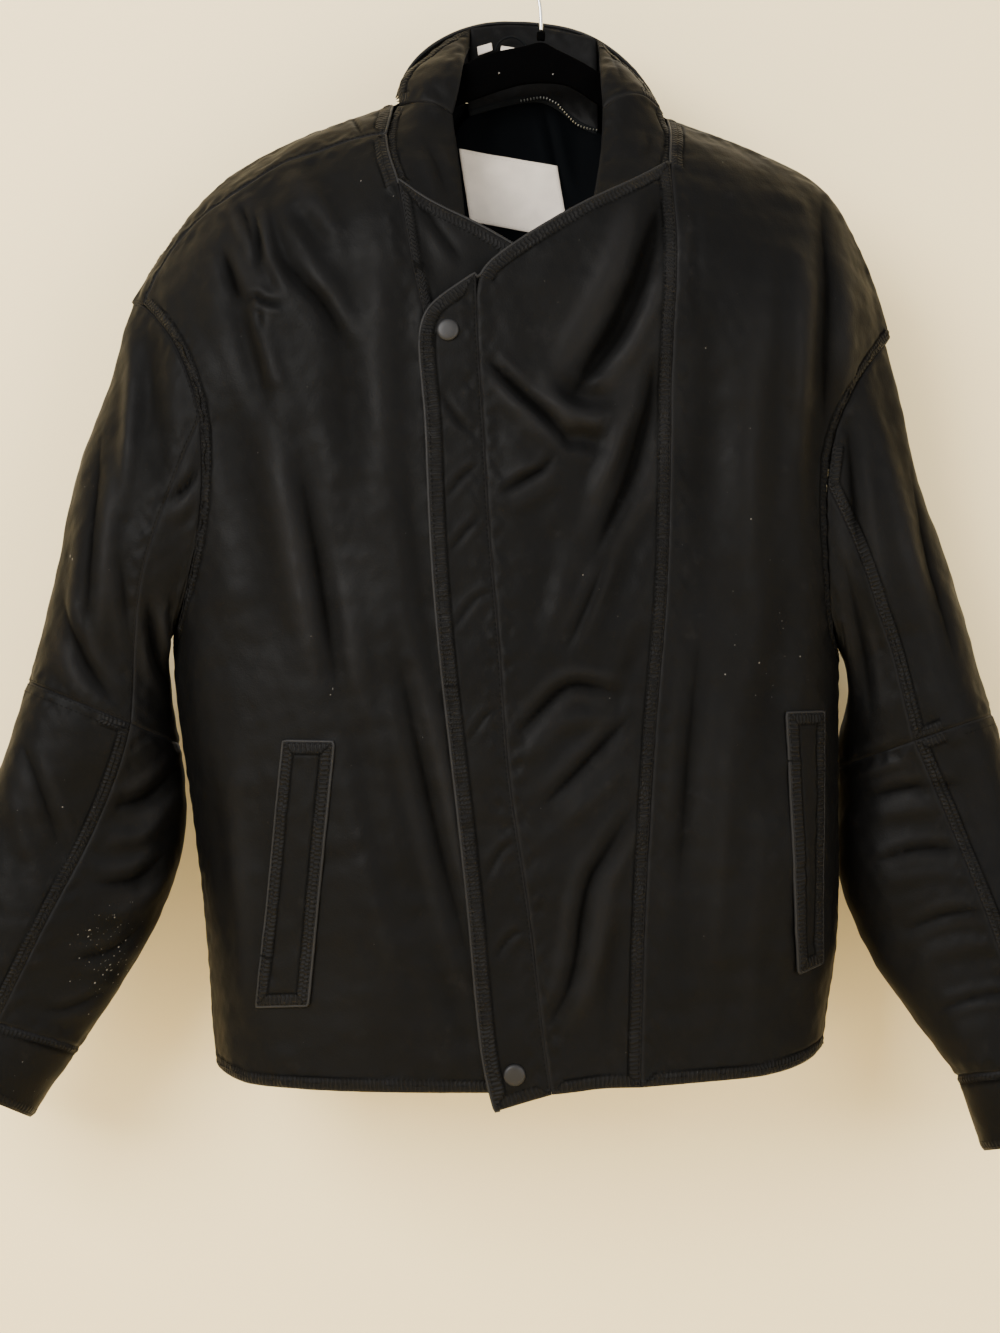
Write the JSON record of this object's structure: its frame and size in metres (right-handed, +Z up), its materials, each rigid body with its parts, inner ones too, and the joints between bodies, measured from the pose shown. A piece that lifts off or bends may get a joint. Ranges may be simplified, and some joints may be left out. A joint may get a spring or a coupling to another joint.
{
  "type": "leather jacket on a hanger",
  "caption": "Worn black leather jacket with an asymmetric wrap front and funnel collar, hanging on a slim flocked hanger with a wire hook.",
  "frame": {"origin": "inside top of the hanger's hook, where a rod carries it", "axes": "+Z up, +Y towards the jacket's back, +X towards the jacket's left side (the viewer's right from the front)"},
  "size_m": [0.8857, 0.1719, 0.8842],
  "materials": {
    "leather": "matte worn leather",
    "facing": "matte leather",
    "lining": "smooth lining cloth",
    "satin": "satin",
    "tape": "woven tape",
    "flock": "flocked",
    "steel": "bright wire",
    "gunmetal": "dark satin metal"
  },
  "bodies": {
    "root": {"back": "leather", "collar": "leather", "right_front": "leather", "right_underlap": "leather", "left_placket": "leather", "left_centre_front": "leather", "left_side_front": "leather", "shoulder_strip": "leather", "right_sleeve_top": "leather", "right_sleeve_under": "leather", "right_forearm_outer": "leather", "right_forearm_inner": "leather", "right_cuff": "leather", "left_sleeve_top": "leather", "left_sleeve_under": "leather", "left_forearm_outer": "leather", "left_forearm_inner": "leather", "left_cuff": "leather", "right_pocket_welt": "leather", "left_pocket_welt": "leather", "collar_facing_back": "facing", "collar_facing_right": "facing", "collar_facing_left": "facing", "front_facing_right": "facing", "front_facing_left": "facing", "neck_lining": "lining", "label": "satin", "size_tab_1": "satin", "size_tab_2": "satin", "liner_zip_tape": "tape", "hang_loop": "tape", "hanger_arms": "flock", "hanger_ferrule": "flock", "hanger_hook": "steel", "collar_snap": "gunmetal", "hem_snap": "gunmetal"}
  },
  "joints": []
}
